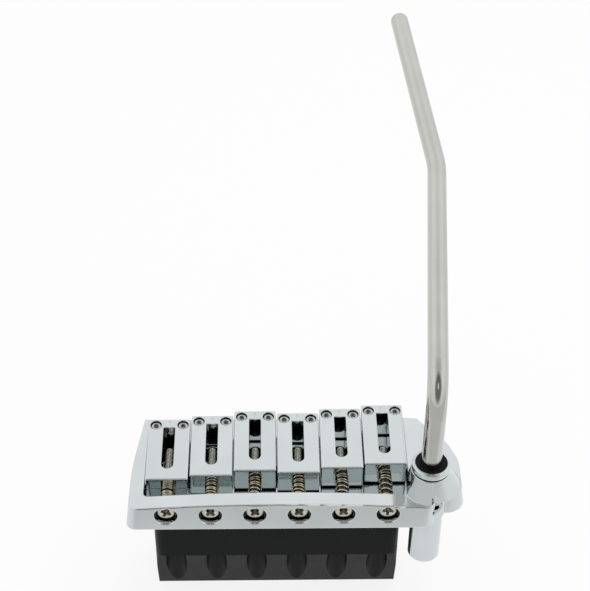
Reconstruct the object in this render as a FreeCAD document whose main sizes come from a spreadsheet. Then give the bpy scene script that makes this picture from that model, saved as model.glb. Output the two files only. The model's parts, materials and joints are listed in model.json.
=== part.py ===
import FreeCAD, Part
import math
import os

import Sketcher
from FreeCAD import Placement, Rotation, Vector

# Guitar tremolo bridge, in millimetres.
# The origin is midway between the two pivot notches, on the tray floor, where the knife edges are.
# X points to the treble side, Y to the neck, Z up. The rear wall is at negative Y.

STRINGS = 6
OUTERMOST = (STRINGS - 1) / 2
START, END, CENTRE = 1, 2, 3

# Driving dimensions: name, value, what it measures.
SIZES = (
    ("string_pitch", 10.8, "between neighbouring strings"),
    ("rear_reach", 35.5, "pivot line to the rear face of the plate"),
    ("floor_thick", 2.4, "floor of the tray"),
    ("rim_rise", 6.0, "tray floor to the crown of the rim"),
    ("arch_radius", 450.0, "arch of the rim's top"),
    ("rear_wall", 4.2, "thickness of the rear wall"),
    ("side_rim", 4.1, "bass rim at the rear, at the tray floor"),
    ("side_angle", 7.5, "degrees that the plate's sides lean out"),
    ("rim_taper", 2.3, "what the bass rim loses towards the front"),
    ("rim_bend", 14.0, "rear face to the middle of the bass rim's curve"),
    ("bass_curve", 6.1, "middle of the bass rim's curve to its ends"),
    ("rim_front", 4.6, "pivot line to the front ends of the rims"),
    ("lip_inset", 0.9, "how far the front lip stays inside the rims"),
    ("corner_round", 2.5, "rear corners of the plate"),
    ("ear_round", 4.5, "rear corner of the ear"),
    ("edge_round", 0.4, "top edge of the plate"),
    ("tray_round", 1.2, "inner rear corners of the tray"),
    ("tray_clear", 0.3, "outer saddles to the tray walls"),
    ("screw_rise", 2.15, "tray floor to the intonation screws' axes"),
    ("head_bore", 5.5, "counterbore for a screw head"),
    ("bore_bevel", 0.25, "bevel at the mouth of a counterbore"),
    ("seat_wall", 1.2, "wall left under a screw head"),
    ("shank_bore", 3.3, "hole for a shank, loose enough to let it tilt"),
    ("stud_spacing", 56.0, "between the pivot notches"),
    ("stud_notch", 6.0, "diameter of a pivot notch"),
    ("knife_bevel", 1.7, "bevel under a knife edge"),
    ("slot_wide", 3.4, "string slot in the floor"),
    ("slot_fore", 9.9, "pivot line to the front end of the floor's string slots"),
    ("slot_long", 6.0, "length of a string slot in the floor"),
    ("barrel_x", 37.4, "centre line of the bridge to the arm's axis"),
    ("barrel_inset", 7.1, "rear face to the arm's axis"),
    ("barrel_dia", 8.0, "arm barrel under the plate"),
    ("barrel_drop", 16.9, "length of the barrel under the plate"),
    ("barrel_edge", 0.4, "bevel at the foot of the barrel"),
    ("boss_dia", 9.5, "boss above the plate"),
    ("boss_rise", 10.9, "tray floor to the top of the boss"),
    ("flare_dia", 13.4, "foot of the boss on its tray side"),
    ("flare_rise", 4.4, "tray floor to the foot of the boss"),
    ("shoulder_dia", 13.4, "shoulder between boss and ear, at its foot"),
    ("shoulder_out", 1.4, "how far the shoulder's foot leans out"),
    ("shoulder_fore", 2.2, "how far the shoulder's foot leans to the neck"),
    ("shoulder_rise", 3.4, "tray floor to the shoulder's foot"),
    ("neck_dia", 7.4, "neck of the boss inside the collar"),
    ("neck_rise", 1.3, "height of the neck"),
    ("ear_reach", 8.8, "arm's axis to the outer edge of the ear"),
    ("ear_inset", 4.7, "rear face of the plate to the rear face of the ear"),
    ("nook_start", 0.5, "arm's axis to where the plate's rear face ends"),
    ("ear_nook", 2.1, "arm's axis to the nook beside the ear"),
    ("ear_side", 13.9, "front ends of the rims to where the ear starts to narrow"),
    ("ear_taper", 2.2, "what the ear loses up to its waist"),
    ("ear_waist", 8.1, "front ends of the rims to the ear's waist"),
    ("ear_front", 4.6, "treble rim at its front end"),
    ("ear_curve", 9.0, "curves of the ear's outside"),
    ("socket_bore", 6.3, "bore of the barrel"),
    ("sleeve_dia", 6.2, "bushing in the barrel"),
    ("sleeve_bore", 5.1, "bushing round the arm"),
    ("sleeve_lift", 1.0, "foot of the barrel to the foot of the bushing"),
    ("flange_dia", 7.84, "flange of the bushing"),
    ("flange_thick", 0.8, "flange of the bushing"),
    ("collar_dia", 9.5, "collar nut"),
    ("collar_top", 2.2, "top of the boss to the top of the collar"),
    ("collar_gap", 0.3, "line between boss and collar"),
    ("collar_round", 0.45, "outer edges of the collar"),
    ("ring_fit", 0.05, "all round between pieces that fit in each other"),
    ("tension_dia", 3.3, "tension screw"),
    ("tension_long", 1.6, "tension screw"),
    ("tension_rise", 1.7, "tray floor to the tension screw's axis"),
    ("tension_angle", 20.0, "degrees from the rear to the tension screw"),
    ("tension_key", 1.5, "hexagon of the tension screw, across flats"),
    ("tension_deep", 1.1, "depth of the tension screw's hexagon"),
    ("arm_dia", 5.0, "arm"),
    ("arm_lift", 2.6, "foot of the barrel to the foot of the arm"),
    ("arm_stem", 28.8, "tray floor to the first bend"),
    ("arm_bend", 9.7, "radius of the first bend"),
    ("slope_angle", 11.3, "degrees that the handle rises"),
    ("yaw_angle", 4.2, "degrees that the arm points outwards at rest"),
    ("arm_first", 64.5, "first straight run"),
    ("kink_angle", 10.6, "degrees of the second bend"),
    ("kink_radius", 30.0, "radius of the second bend"),
    ("arm_second", 60.2, "second run, from the second bend to the tip"),
    ("tip_round", 2.2, "rounding of the tip"),
    ("foot_bevel", 0.6, "bevel at the arm's foot"),
    ("ring_wire", 0.8, "retaining ring"),
    ("ring_rise", 2.2, "foot of the arm to the retaining ring"),
    ("block_gap", 2.2, "tremolo block to the barrel"),
    ("block_height", 35.5, "tremolo block"),
    ("block_thick", 18.4, "tremolo block, at the top"),
    ("block_front", 8.5, "pivot line to the block's front face"),
    ("block_band", 19.9, "height of the plain band"),
    ("block_step", 0.4, "step under the band"),
    ("block_undercut", 4.2, "how far the lower face runs in to the foot"),
    ("block_round", 2.4, "upright corners of the block"),
    ("flute_dia", 5.3, "ball-end flutes"),
    ("flute_pitch", 10.4, "between flutes"),
    ("flute_inset", 1.6, "band's face to the flutes' axes"),
    ("string_bore", 2.2, "string holes in the block"),
    ("hook_bore", 2.6, "holes for the tremolo springs' hooks"),
    ("hook_deep", 8.0, "holes for the tremolo springs' hooks"),
    ("hook_pitch", 11.0, "between hook holes"),
    ("hook_inset", 4.5, "front face of the block to the hook holes"),
    ("block_screw", 4.0, "screws of the block"),
    ("screw_head", 7.4, "countersunk heads of the block's screws"),
    ("screw_long", 12.0, "screws of the block"),
    ("screw_span", 21.6, "between the block's screws"),
    ("screw_inset", 20.5, "pivot line to the block's screws"),
    ("saddle_width", 10.5, "saddle"),
    ("saddle_long", 19.9, "saddle"),
    ("saddle_high", 6.6, "saddle, at its rear"),
    ("saddle_angle", 3.0, "degrees that a saddle's top rises to the front"),
    ("saddle_clear", 0.5, "tray floor to a saddle"),
    ("saddle_round", 0.3, "edges of a saddle"),
    ("saddle_slot", 3.0, "width of a saddle's string slot"),
    ("slot_start", 3.5, "rear of a saddle to its slot"),
    ("slot_front", 2.9, "front of a saddle to its slot"),
    ("string_notch", 0.5, "string notch at the front of a saddle"),
    ("saddle_rear_1", 7.7, "rear face of the plate to saddle 1, as set"),
    ("saddle_rear_2", 8.9, "rear face of the plate to saddle 2, as set"),
    ("saddle_rear_3", 10.5, "rear face of the plate to saddle 3, as set"),
    ("saddle_rear_4", 9.7, "rear face of the plate to saddle 4, as set"),
    ("saddle_rear_5", 11.2, "rear face of the plate to saddle 5, as set"),
    ("saddle_rear_6", 12.4, "rear face of the plate to saddle 6, as set"),
    ("grub_dia", 2.8, "height screw"),
    ("grub_long", 7.6, "height screw"),
    ("grub_span", 6.8, "between the height screws of a saddle"),
    ("grub_front", 2.0, "front of a saddle to its height screws"),
    ("grub_key", 1.3, "hexagon of a height screw, across flats"),
    ("grub_tip", 1.6, "flat of a height screw's foot"),
    ("grub_bevel", 0.2, "bevel at the top of a height screw"),
    ("grub_clear", 0.12, "tray floor to a height screw's foot"),
    ("key_deep", 1.4, "depth of a hexagon"),
    ("screw_dia", 2.4, "intonation screw"),
    ("shank_long", 19.4, "intonation screw under its head"),
    ("shank_bevel", 0.48, "bevel at the end of a shank"),
    ("head_dia", 4.6, "head of an intonation screw"),
    ("head_thick", 1.6, "head of an intonation screw"),
    ("head_round", 0.7, "edge of a head"),
    ("head_gap", 0.2, "head to its seat, so that it can tilt"),
    ("cross_long", 2.7, "cross recess"),
    ("cross_wide", 0.75, "cross recess"),
    ("cross_deep", 0.9, "cross recess"),
    ("spring_dia", 3.4, "intonation spring, outside"),
    ("spring_wire", 0.35, "wire of the spring"),
    ("spring_turns", 3.5, "turns of a spring"),
    ("spring_clear", 0.2, "spring to the rear wall and to the saddle"),
)

doc = FreeCAD.newDocument("tremolo_bridge")
sheet = doc.addObject("Spreadsheet::Sheet", "Sizes")
for row, (name, value, note) in enumerate(SIZES, start=1):
    sheet.set("A%d" % row, name)
    sheet.set("B%d" % row, str(value))
    sheet.set("C%d" % row, note)
    sheet.setAlias("B%d" % row, name)
doc.recompute()

nodes = []


def worth(expression):
    return float(sheet.evalExpression(expression))


def size(name):
    return worth("Sizes." + name)


# Places that several pieces share, as expressions of the sizes.
TRAY_HALF = "(%s * Sizes.string_pitch + Sizes.saddle_width / 2 + Sizes.tray_clear)" % OUTERMOST
BARREL_Y = "(Sizes.barrel_inset - Sizes.rear_reach)"
BARREL_FOOT = "(-Sizes.floor_thick - Sizes.barrel_drop)"
NECK_TOP = "(Sizes.boss_rise + Sizes.neck_rise)"
SEAT_Y = "(Sizes.rear_wall - Sizes.seat_wall - Sizes.rear_reach)"
BLOCK_TOP = "(-Sizes.floor_thick)"
BLOCK_REAR = "(-Sizes.block_front - Sizes.block_thick)"
BLOCK_FOOT = "(-Sizes.floor_thick - Sizes.block_height)"
SCREW_Y = "(-Sizes.screw_inset)"
EAR_EDGE = "(Sizes.barrel_x + Sizes.ear_reach)"
PAST_EDGE = "(Sizes.barrel_x + 2 * Sizes.ear_reach)"


def string_x(index, pitch="string_pitch"):
    return "(%s * Sizes.%s)" % (index - OUTERMOST, pitch)


def saddle_y(index):
    return "(Sizes.saddle_rear_%d - Sizes.rear_reach)" % (index + 1)


def step_x(place, pitch):
    return "%d * Sizes.%s" % (place, pitch) if place else "0"


# Modelling helpers.

def new_body(label, x="0", y="0", z="0"):
    body = doc.addObject("PartDesign::Body", label)
    body.Label = label
    body.setExpression("Placement.Base.x", x)
    body.setExpression("Placement.Base.y", y)
    body.setExpression("Placement.Base.z", z)
    nodes.append(body)
    return body


def new_sketch(body, name, role, lift="0", across="0", up="0", turn=None):
    sketch = body.newObject("Sketcher::SketchObject", name)
    plane = [item for item in body.Origin.OriginFeatures if item.Role == role][0]
    sketch.AttachmentSupport = (plane, [""])
    sketch.MapMode = "FlatFace"
    if turn is not None:
        sketch.AttachmentOffset = Placement(Vector(), Rotation(Vector(0, 1, 0), turn))
    sketch.setExpression("AttachmentOffset.Base.x", across)
    sketch.setExpression("AttachmentOffset.Base.y", up)
    sketch.setExpression("AttachmentOffset.Base.z", lift)
    return sketch


def fix_point(sketch, geometry, corner, x, y):
    for kind, axis, expression in (("DistanceX", -2, x), ("DistanceY", -1, y)):
        if expression == "0":
            sketch.addConstraint(Sketcher.Constraint("PointOnObject", geometry, corner, axis))
        else:
            rule = Sketcher.Constraint(kind, -1, 1, geometry, corner, worth(expression))
            index = sketch.addConstraint(rule)
            sketch.setExpression("Constraints[%d]" % index, expression)


def bulge(start, end, radius):
    chord = end - start
    outward = Vector(chord.y, -chord.x, 0).normalize()
    depth = radius - math.sqrt(radius ** 2 - (chord.Length / 2) ** 2)
    return Part.Arc(start, (start + end) * 0.5 + outward * depth, end)


def polygon(sketch, points):
    # A corner is x, y and, if the side that starts there bulges, its radius.
    places = [Vector(worth(x), worth(y), 0) for x, y, *curve in points]
    sides = []
    for start, end, (x, y, *curve) in zip(places, places[1:] + places[:1], points):
        shape = bulge(start, end, worth(curve[0])) if curve else Part.LineSegment(start, end)
        sides.append(sketch.addGeometry(shape, False))
    for side, after in zip(sides, sides[1:] + sides[:1]):
        sketch.addConstraint(Sketcher.Constraint("Coincident", side, END, after, START))
    for side, (x, y, *curve) in zip(sides, points):
        fix_point(sketch, side, START, x, y)
        for radius in curve:
            index = sketch.addConstraint(Sketcher.Constraint("Radius", side, worth(radius)))
            sketch.setExpression("Constraints[%d]" % index, radius)


def rectangle(sketch, left, right, low, high):
    polygon(sketch, [(left, low), (right, low), (right, high), (left, high)])


def circle(sketch, x, y, diameter):
    centre = Vector(worth(x), worth(y), 0)
    shape = Part.Circle(centre, Vector(0, 0, 1), worth(diameter) / 2)
    geometry = sketch.addGeometry(shape, False)
    fix_point(sketch, geometry, CENTRE, x, y)
    index = sketch.addConstraint(Sketcher.Constraint("Diameter", geometry, worth(diameter)))
    sketch.setExpression("Constraints[%d]" % index, diameter)


def oblong(sketch, x, low, high, width):
    half = worth(width) / 2
    ends = []
    for y, start in ((low, math.pi), (high, 0.0)):
        centre = Vector(worth(x), worth(y), 0)
        arc = Part.ArcOfCircle(Part.Circle(centre, Vector(0, 0, 1), half), start, start + math.pi)
        ends.append(sketch.addGeometry(arc, False))
    near, far = ends
    sides = []
    for side in (half, -half):
        start = Vector(worth(x) + side, worth(low), 0)
        end = Vector(worth(x) + side, worth(high), 0)
        sides.append(sketch.addGeometry(Part.LineSegment(start, end), False))
    right, left = sides
    for line, near_end, far_end in ((right, END, START), (left, START, END)):
        sketch.addConstraint(Sketcher.Constraint("Tangent", line, START, near, near_end))
        sketch.addConstraint(Sketcher.Constraint("Tangent", line, END, far, far_end))
    sketch.addConstraint(Sketcher.Constraint("Equal", near, far))
    fix_point(sketch, near, CENTRE, x, low)
    fix_point(sketch, far, CENTRE, x, high)
    index = sketch.addConstraint(Sketcher.Constraint("Diameter", near, worth(width)))
    sketch.setExpression("Constraints[%d]" % index, width)


def hexagon(sketch, x, y, across_flats):
    corners = []
    for step in range(6):
        turn = "%d" % (60 * step)
        corners.append((
            "%s + %s / sqrt(3) * cos(%s)" % (x, across_flats, turn),
            "%s + %s / sqrt(3) * sin(%s)" % (y, across_flats, turn),
        ))
    polygon(sketch, corners)


def pad(body, sketch, length, both_ways=False):
    feature = body.newObject("PartDesign::Pad", sketch.Name + "_pad")
    feature.Profile = sketch
    feature.setExpression("Length", length)
    if both_ways:
        feature.SideType = "Symmetric"
    doc.recompute()
    return feature


def pocket(body, sketch, length, reverse=False, through=False, along=None):
    before = body.Shape.Volume
    feature = body.newObject("PartDesign::Pocket", sketch.Name + "_pocket")
    feature.Profile = sketch
    if through:
        feature.Type = "ThroughAll"
        feature.SideType = "Symmetric"
    else:
        feature.setExpression("Length", length)
        feature.Reversed = reverse
    if along is not None:
        feature.UseCustomVector = True
        feature.Direction = along
        feature.AlongSketchNormal = True
    doc.recompute()
    if body.Shape.Volume > before - 1e-6:
        raise ValueError(sketch.Name + " cuts nothing from " + body.Label)
    return feature


def revolve(body, sketch, axis, angle="360"):
    feature = body.newObject("PartDesign::Revolution", sketch.Name + "_turned")
    feature.Profile = sketch
    feature.ReferenceAxis = (sketch, [axis])
    feature.setExpression("Angle", angle)
    feature.Midplane = angle != "360"
    doc.recompute()
    return feature


def edges_where(shape, test):
    return ["Edge%d" % (i + 1) for i, edge in enumerate(shape.Edges) if test(edge)]


def dress(body, kind, name, edges, measure):
    base = body.Tip
    feature = body.newObject("PartDesign::" + kind, name)
    feature.Base = (base, edges)
    feature.setExpression("Radius" if kind == "Fillet" else "Size", measure)
    doc.recompute()
    return feature


def is_upright(edge):
    box = edge.BoundBox
    return box.XLength < 1e-6 and box.YLength < 1e-6


def corners_at(shape, *places):
    levels = [worth(place) for place in places]
    return edges_where(shape, lambda edge: edge.BoundBox.ZLength > size("rim_rise") / 2
                       and any(abs(edge.CenterOfMass.y - level) < size("edge_round") for level in levels))


def lies_at_height(edge, height):
    box = edge.BoundBox
    return abs(box.ZMin - height) < 1e-5 and abs(box.ZMax - height) < 1e-5


def is_round(edge, diameter):
    if edge.Degenerated:
        return False
    middle = (edge.FirstParameter + edge.LastParameter) / 2
    spots = (edge.FirstParameter, middle, edge.LastParameter)
    return all(abs(edge.curvatureAt(spot) * diameter / 2 - 1) < 1e-4 for spot in spots)


# Base plate: one casting with its tray, rims, ear and arm barrel.

def plate_outline(sketch):
    rear = "-Sizes.rear_reach"
    bass = "-(%s + Sizes.side_rim)" % TRAY_HALF
    bass_front = "-(%s + Sizes.side_rim - Sizes.rim_taper)" % TRAY_HALF
    treble_front = "%s + Sizes.ear_front" % TRAY_HALF
    bend = rear + " + Sizes.rim_bend"
    lean = "atan(Sizes.rim_taper / (Sizes.rear_reach - Sizes.rim_bend - Sizes.rim_front))"
    curve_x = "%s + Sizes.bass_curve * sin(%s)" % (bass, lean)
    curve_y = "%s + Sizes.bass_curve * cos(%s)" % (bend, lean)
    polygon(sketch, [
        (bass, rear),
        ("Sizes.barrel_x + Sizes.nook_start", rear),
        ("Sizes.barrel_x + Sizes.ear_nook", rear + " + Sizes.ear_inset"),
        (EAR_EDGE, rear + " + Sizes.ear_inset"),
        (EAR_EDGE, "-Sizes.rim_front - Sizes.ear_side"),
        (EAR_EDGE + " - Sizes.ear_taper", "-Sizes.rim_front - Sizes.ear_waist"),
        (treble_front, "-Sizes.rim_front"),
        (treble_front + " - Sizes.lip_inset", "0"),
        (bass_front + " + Sizes.lip_inset", "0"),
        (bass_front, "-Sizes.rim_front"),
        (curve_x, curve_y, "Sizes.bass_curve / tan(%s / 2)" % lean),
        (bass, bend + " - Sizes.bass_curve"),
    ])


def arch_drop(x):
    return "(Sizes.arch_radius - sqrt(Sizes.arch_radius^2 - %s^2))" % x


def arch_cut(sketch):
    end_height = "Sizes.rim_rise - " + arch_drop(PAST_EDGE)
    top = "2 * Sizes.rim_rise"
    left = Vector(-worth(PAST_EDGE), worth(end_height), 0)
    crown = Vector(0, size("rim_rise"), 0)
    right = Vector(worth(PAST_EDGE), worth(end_height), 0)
    arc = sketch.addGeometry(Part.Arc(left, crown, right), False)
    roof_right = Vector(right.x, worth(top), 0)
    roof_left = Vector(left.x, worth(top), 0)
    lines = []
    for start, end in ((right, roof_right), (roof_right, roof_left), (roof_left, left)):
        lines.append(sketch.addGeometry(Part.LineSegment(start, end), False))
    first, second, third = lines
    radius = sketch.addConstraint(Sketcher.Constraint("Radius", arc, size("arch_radius")))
    sketch.setExpression("Constraints[%d]" % radius, "Sizes.arch_radius")
    arc_left, arc_right = (START, END) if sketch.getPoint(arc, START).x < 0 else (END, START)
    sketch.addConstraint(Sketcher.Constraint("Coincident", arc, arc_right, first, START))
    sketch.addConstraint(Sketcher.Constraint("Coincident", first, END, second, START))
    sketch.addConstraint(Sketcher.Constraint("Coincident", second, END, third, START))
    sketch.addConstraint(Sketcher.Constraint("Coincident", third, END, arc, arc_left))
    fix_point(sketch, first, START, PAST_EDGE, end_height)
    fix_point(sketch, second, START, PAST_EDGE, top)
    fix_point(sketch, third, START, "-" + PAST_EDGE, top)
    sketch.addConstraint(Sketcher.Constraint("PointOnObject", arc, CENTRE, -2))
    sketch.addConstraint(Sketcher.Constraint("Vertical", third))


def is_on_arch(edge):
    radius = size("arch_radius")
    crown = size("rim_rise")
    middle = (edge.FirstParameter + edge.LastParameter) / 2
    for spot in (edge.FirstParameter, middle, edge.LastParameter):
        point = edge.valueAt(spot)
        if abs(point.z - crown + radius - math.sqrt(radius ** 2 - point.x ** 2)) > 1e-4:
            return False
    return True


def add_barrel(body):
    stem = new_sketch(body, "barrel", "XZ_Plane", "-" + BARREL_Y, "Sizes.barrel_x")
    barrel = "Sizes.barrel_dia / 2"
    boss = "Sizes.boss_dia / 2"
    neck = "Sizes.neck_dia / 2"
    polygon(stem, [
        ("0", BARREL_FOOT),
        (barrel + " - Sizes.barrel_edge", BARREL_FOOT),
        (barrel, BARREL_FOOT + " + Sizes.barrel_edge"),
        (barrel, BLOCK_TOP),
        (boss, BLOCK_TOP),
        (boss, "Sizes.boss_rise"),
        (neck, "Sizes.boss_rise"),
        (neck, NECK_TOP),
        ("0", NECK_TOP),
    ])
    revolve(body, stem, "V_Axis")

    flare = new_sketch(body, "boss_flare", "XZ_Plane", "-" + BARREL_Y, "Sizes.barrel_x")
    polygon(flare, [
        ("0", "0"),
        ("-Sizes.flare_dia / 2", "0"),
        ("-Sizes.flare_dia / 2", "Sizes.flare_rise"),
        ("-" + boss, "Sizes.boss_rise"),
        ("0", "Sizes.boss_rise"),
    ])
    revolve(body, flare, "V_Axis", "180")

    foot = new_sketch(body, "shoulder_foot", "XY_Plane", "Sizes.shoulder_rise")
    foot_x = "Sizes.barrel_x + Sizes.shoulder_out"
    circle(foot, foot_x, BARREL_Y + " + Sizes.shoulder_fore", "Sizes.shoulder_dia")
    top = new_sketch(body, "shoulder_top", "XY_Plane", "Sizes.boss_rise - Sizes.collar_gap")
    circle(top, "Sizes.barrel_x", BARREL_Y, "Sizes.boss_dia")
    shoulder = body.newObject("PartDesign::AdditiveLoft", "shoulder")
    shoulder.Profile = foot
    shoulder.Sections = [top]
    doc.recompute()


def bore_screw_seats(body):
    mouth = "(Sizes.rear_reach + Sizes.rear_wall)"
    heads = new_sketch(body, "head_bores", "XZ_Plane", mouth)
    shanks = new_sketch(body, "shank_bores", "XZ_Plane", mouth)
    for index in range(STRINGS):
        circle(heads, string_x(index), "Sizes.screw_rise", "Sizes.head_bore")
        circle(shanks, string_x(index), "Sizes.screw_rise", "Sizes.shank_bore")
    pocket(body, heads, "2 * Sizes.rear_wall - Sizes.seat_wall")
    pocket(body, shanks, "3 * Sizes.rear_wall")
    bevels = new_sketch(body, "bore_bevels", "XZ_Plane", "Sizes.rear_reach")
    for index in range(STRINGS):
        circle(bevels, string_x(index), "Sizes.screw_rise", "Sizes.head_bore + 2 * Sizes.bore_bevel")
    cone = pocket(body, bevels, "Sizes.bore_bevel")
    cone.TaperAngle = -45


def cut_floor(body):
    slots = new_sketch(body, "string_slots", "XY_Plane")
    back = "Sizes.slot_wide / 2 - Sizes.slot_fore - Sizes.slot_long"
    front = "-Sizes.slot_wide / 2 - Sizes.slot_fore"
    for index in range(STRINGS):
        oblong(slots, string_x(index), back, front, "Sizes.slot_wide")
    pocket(body, slots, "2 * Sizes.floor_thick")

    holes = new_sketch(body, "block_screw_holes", "XY_Plane")
    hole = "Sizes.block_screw + 2 * Sizes.ring_fit"
    for side in (-1, 0, 1):
        circle(holes, step_x(side, "screw_span"), SCREW_Y, hole)
    pocket(body, holes, "2 * Sizes.floor_thick")
    rims = edges_where(body.Shape, lambda edge: is_round(edge, worth(hole)) and lies_at_height(edge, 0))
    dress(body, "Chamfer", "countersinks", rims, "(Sizes.screw_head - Sizes.block_screw) / 2")

    studs = new_sketch(body, "stud_notches", "XY_Plane")
    for side in ("", "-"):
        circle(studs, side + "Sizes.stud_spacing / 2", "0", "Sizes.stud_notch")
    pocket(body, studs, "2 * Sizes.floor_thick")
    under = -size("floor_thick")
    arcs = edges_where(body.Shape, lambda edge: is_round(edge, size("stud_notch"))
                       and lies_at_height(edge, under))
    dress(body, "Chamfer", "knife_edges", arcs, "Sizes.knife_bevel")


def lean_sides(body):
    ear_rear = worth("Sizes.ear_inset - Sizes.rear_reach")
    faces = []
    for number, face in enumerate(body.Shape.Faces, start=1):
        outward = face.normalAt(0, 0)
        is_nook = face.CenterOfMass.x > 0 and face.CenterOfMass.y < ear_rear
        if abs(outward.x) > abs(outward.y) and not is_nook:
            faces.append("Face%d" % number)
    base = body.Tip
    lean = body.newObject("PartDesign::Draft", "leaning_sides")
    lean.Base = (base, faces)
    floor = [item for item in body.Origin.OriginFeatures if item.Role == "XY_Plane"][0]
    lean.NeutralPlane = (floor, [""])
    lean.setExpression("Angle", "Sizes.side_angle")
    doc.recompute()


def make_base_plate():
    body = new_body("base_plate")
    outline = new_sketch(body, "plate_outline", "XY_Plane", "-Sizes.floor_thick")
    plate_outline(outline)
    pad(body, outline, "Sizes.floor_thick + Sizes.rim_rise")
    lean_sides(body)
    side = "-Sizes.rim_front - Sizes.ear_side"
    waist = "-Sizes.rim_front - Sizes.ear_waist"
    dress(body, "Fillet", "ear_curves", corners_at(body.Shape, side, waist), "Sizes.ear_curve")
    ear_rear = "Sizes.ear_inset - Sizes.rear_reach"
    outer = [name for name in corners_at(body.Shape, ear_rear)
             if body.Shape.getElement(name).CenterOfMass.x > worth(EAR_EDGE) - size("ear_nook")]
    dress(body, "Fillet", "ear_corner", outer, "Sizes.ear_round")
    dress(body, "Fillet", "corners", corners_at(body.Shape, "-Sizes.rear_reach", ear_rear), "Sizes.corner_round")
    arch = new_sketch(body, "arch", "XZ_Plane")
    arch_cut(arch)
    pocket(body, arch, "", through=True)
    dress(body, "Fillet", "rim_edge", edges_where(body.Shape, is_on_arch), "Sizes.edge_round")
    add_barrel(body)

    front = new_sketch(body, "front_lip", "XY_Plane")
    rectangle(front, "-" + PAST_EDGE, PAST_EDGE, "-Sizes.rim_front", "Sizes.rim_front")
    pocket(body, front, "2 * Sizes.boss_rise", reverse=True)
    tray = new_sketch(body, "tray", "XY_Plane")
    tray_rear = "Sizes.rear_wall - Sizes.rear_reach"
    rectangle(tray, "-" + TRAY_HALF, TRAY_HALF, tray_rear, "Sizes.rim_front")
    pocket(body, tray, "2 * Sizes.boss_rise", reverse=True)
    inner = Vector(worth(TRAY_HALF), worth(tray_rear), 0)
    corners = edges_where(body.Shape, lambda edge: is_upright(edge)
                          and abs(abs(edge.CenterOfMass.x) - inner.x) < 1e-4
                          and abs(edge.CenterOfMass.y - inner.y) < 1e-4)
    dress(body, "Fillet", "tray_corners", corners, "Sizes.tray_round")
    bore_screw_seats(body)
    cut_floor(body)
    socket = new_sketch(body, "socket", "XY_Plane")
    circle(socket, "Sizes.barrel_x", BARREL_Y, "Sizes.socket_bore")
    pocket(body, socket, "", through=True)
    tension = new_sketch(body, "tension_hole", "XZ_Plane", "-" + BARREL_Y, "Sizes.barrel_x",
                         "Sizes.tension_rise", size("tension_angle"))
    circle(tension, "0", "0", "Sizes.tension_dia + 2 * Sizes.ring_fit")
    pocket(body, tension, "2 * Sizes.boss_dia", reverse=True)


# Tremolo block: a band above, an undercut face with the flutes below.

def make_tremolo_block():
    body = new_body("tremolo_block")
    plan = new_sketch(body, "block_plan", "XY_Plane", BLOCK_FOOT)
    front = BLOCK_REAR + " + Sizes.block_thick"
    half = "(Sizes.barrel_x - Sizes.barrel_dia / 2 - Sizes.block_gap)"
    rectangle(plan, "-" + half, half, BLOCK_REAR, front)
    pad(body, plan, "Sizes.block_height")
    dress(body, "Fillet", "block_corners", edges_where(body.Shape, is_upright), "Sizes.block_round")

    undercut = new_sketch(body, "undercut", "YZ_Plane")
    past = BLOCK_REAR + " - Sizes.block_thick"
    band_foot = BLOCK_TOP + " - Sizes.block_band"
    polygon(undercut, [
        (past, band_foot),
        (past, BLOCK_FOOT),
        (BLOCK_REAR + " + Sizes.block_step + Sizes.block_undercut", BLOCK_FOOT),
        (BLOCK_REAR + " + Sizes.block_step", band_foot),
    ])
    pocket(body, undercut, "", through=True)

    flutes = new_sketch(body, "flutes", "XY_Plane", BLOCK_FOOT)
    flute_y = BLOCK_REAR + " + Sizes.flute_inset"
    for index in range(STRINGS):
        circle(flutes, string_x(index, "flute_pitch"), flute_y, "Sizes.flute_dia")
    pocket(body, flutes, "Sizes.block_height - Sizes.block_band", reverse=True)

    strings = new_sketch(body, "string_bores", "XY_Plane", BLOCK_TOP)
    bore_y = "-Sizes.slot_fore - Sizes.slot_long / 2"
    for index in range(STRINGS):
        circle(strings, string_x(index), bore_y, "Sizes.string_bore")
    run_back = worth(bore_y) - worth(BLOCK_REAR) - size("flute_inset")
    downwards = Vector(0, -run_back, -size("block_band"))
    pocket(body, strings, "Sizes.block_band + Sizes.string_bore", along=downwards)

    hooks = new_sketch(body, "hook_bores", "XY_Plane", BLOCK_FOOT)
    hook_y = front + " - Sizes.hook_inset"
    for place in (-2, -1, 0, 1, 2):
        circle(hooks, step_x(place, "hook_pitch"), hook_y, "Sizes.hook_bore")
    pocket(body, hooks, "Sizes.hook_deep", reverse=True)

    screws = new_sketch(body, "screw_bores", "XY_Plane", BLOCK_TOP)
    for side in (-1, 0, 1):
        circle(screws, step_x(side, "screw_span"), SCREW_Y, "Sizes.block_screw + 2 * Sizes.ring_fit")
    pocket(body, screws, "Sizes.screw_long")


def make_block_screws():
    body = new_body("block_screws", y=SCREW_Y)
    body.AllowCompound = True
    profile = new_sketch(body, "block_screw_side", "XZ_Plane", across="-Sizes.screw_span")
    head = "Sizes.screw_head / 2 - Sizes.ring_fit"
    shank = "Sizes.block_screw / 2"
    polygon(profile, [
        ("0", "0"),
        (head, "0"),
        (shank, "%s - (%s)" % (shank, head)),
        (shank, "-Sizes.screw_long"),
        ("0", "-Sizes.screw_long"),
    ])
    screw = revolve(body, profile, "V_Axis")
    row = body.newObject("PartDesign::LinearPattern", "screw_row")
    row.Originals = [screw]
    row.Direction = (profile, ["H_Axis"])
    row.setExpression("Length", "2 * Sizes.screw_span")
    row.Occurrences = 3
    body.Tip = row
    doc.recompute()


# Arm socket: collar nut, bushing, tension screw and retaining ring.

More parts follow.
